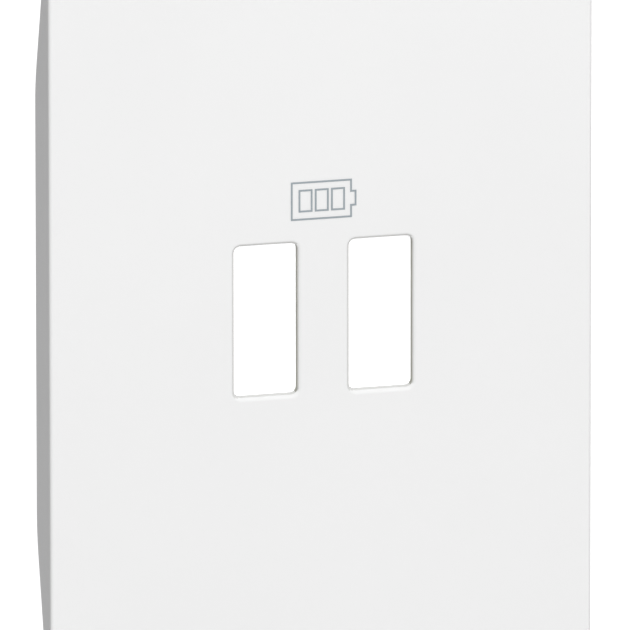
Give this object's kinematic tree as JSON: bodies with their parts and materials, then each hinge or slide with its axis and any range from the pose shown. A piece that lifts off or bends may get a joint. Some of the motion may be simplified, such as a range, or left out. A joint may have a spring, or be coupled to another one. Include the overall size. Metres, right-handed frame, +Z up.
{
  "type": "wall charging point",
  "caption": "Flush wall charging unit: a plain white push-on cover with upright port slots behind sprung shutters, on a steel support frame with its power supply in the wall.",
  "frame": {"origin": "middle of the support frame's back face, on the wall plane", "axes": "+Z up, -Y out of the wall towards the room, +X to the right as seen from the room"},
  "size_m": [0.045, 0.0298, 0.067],
  "materials": {
    "white_cover": "fine satin",
    "grey_ink": "matt print",
    "opal_white_flap": "smooth",
    "spring_steel": "drawn wire",
    "zinc_plated_steel": "zinc plated",
    "terminal_steel": "nickel plated",
    "white_carrier": "fine spark texture",
    "grey_case": "fine spark texture",
    "black_block": "satin",
    "green_laminate": "solder mask",
    "nickel_shell": "nickel plated",
    "white_insulator": "smooth",
    "gold_contact": "gold plated",
    "brass_bar": "bare",
    "ferrite": "sintered",
    "yellow_tape": "polyester tape",
    "dark_sleeve": "shrink sleeve",
    "blue_coating": "dipped epoxy"
  },
  "bodies": {
    "base": {"shutter_spring_left": "spring_steel", "shutter_spring_right": "spring_steel", "support_frame": "zinc_plated_steel", "box_screw_top": "zinc_plated_steel", "box_screw_bottom": "zinc_plated_steel", "frame_screw_left": "zinc_plated_steel", "frame_screw_right": "zinc_plated_steel", "housing_screw_1": "zinc_plated_steel", "housing_screw_2": "zinc_plated_steel", "housing_screw_3": "zinc_plated_steel", "housing_screw_4": "zinc_plated_steel", "front_housing": "white_carrier", "rear_housing": "grey_case", "terminal_block": "black_block", "board_header": "black_block", "bridge_rectifier": "black_block", "controller_chip": "black_block", "port_board": "green_laminate", "main_board": "green_laminate", "usb_shell_left": "nickel_shell", "usb_shell_right": "nickel_shell", "usb_tongue_left": "white_insulator", "usb_tongue_right": "white_insulator", "fuse": "white_insulator", "usb_contact_left_1": "gold_contact", "usb_contact_left_2": "gold_contact", "usb_contact_left_3": "gold_contact", "usb_contact_left_4": "gold_contact", "usb_contact_right_1": "gold_contact", "usb_contact_right_2": "gold_contact", "usb_contact_right_3": "gold_contact", "usb_contact_right_4": "gold_contact", "terminal_bar_left": "brass_bar", "terminal_bar_right": "brass_bar", "transformer_core": "ferrite", "choke": "ferrite", "transformer_winding": "yellow_tape", "input_capacitor": "dark_sleeve", "output_capacitor_1": "dark_sleeve", "output_capacitor_2": "dark_sleeve", "safety_capacitor": "blue_coating"},
    "cover": {"cover_shell": "white_cover", "battery_outline": "grey_ink", "battery_cell_1": "grey_ink", "battery_cell_2": "grey_ink", "battery_cell_3": "grey_ink"},
    "shutter_left": {"shutter_left": "opal_white_flap"},
    "terminal_screw_left": {"terminal_screw_left": "terminal_steel"},
    "terminal_cage_left": {"terminal_cage_left": "terminal_steel"},
    "shutter_right": {"shutter_right": "opal_white_flap"},
    "terminal_screw_right": {"terminal_screw_right": "terminal_steel"},
    "terminal_cage_right": {"terminal_cage_right": "terminal_steel"}
  },
  "joints": [
    {"name": "cover_pull", "type": "slide", "parent": "base", "child": "cover", "axis": [0, -1, 0], "range_m": [0, 0.012]},
    {"name": "shutter_left_hinge", "type": "hinge", "parent": "base", "child": "shutter_left", "pos_m": [-0.008, -0.0057, -0.00065], "axis": [0, 0, 1], "range_deg": [0, 88], "stiffness_Nm_per_rad": 0.00015, "springref_deg": -45.84},
    {"name": "shutter_right_hinge", "type": "hinge", "parent": "base", "child": "shutter_right", "pos_m": [0.008, -0.0057, -0.00065], "axis": [0, 0, -1], "range_deg": [0, 88], "stiffness_Nm_per_rad": 0.00015, "springref_deg": -45.84},
    {"name": "terminal_screw_left_turn", "type": "hinge", "parent": "base", "child": "terminal_screw_left", "pos_m": [-0.0056, 0.0165, -0.0164], "axis": [0, -1, 0], "range_deg": [0, 2401]},
    {"name": "terminal_cage_left_rise", "type": "slide", "parent": "base", "child": "terminal_cage_left", "axis": [0, 1, 0], "range_m": [0, 0.004]},
    {"name": "terminal_screw_right_turn", "type": "hinge", "parent": "base", "child": "terminal_screw_right", "pos_m": [0.0056, 0.0165, -0.0164], "axis": [0, -1, 0], "range_deg": [0, 2401]},
    {"name": "terminal_cage_right_rise", "type": "slide", "parent": "base", "child": "terminal_cage_right", "axis": [0, 1, 0], "range_m": [0, 0.004]}
  ],
  "couplings": [
    {"joint": "terminal_screw_left_turn", "follows": "terminal_cage_left_rise", "rad_per_m": 10472},
    {"joint": "terminal_screw_right_turn", "follows": "terminal_cage_right_rise", "rad_per_m": 10472}
  ]
}
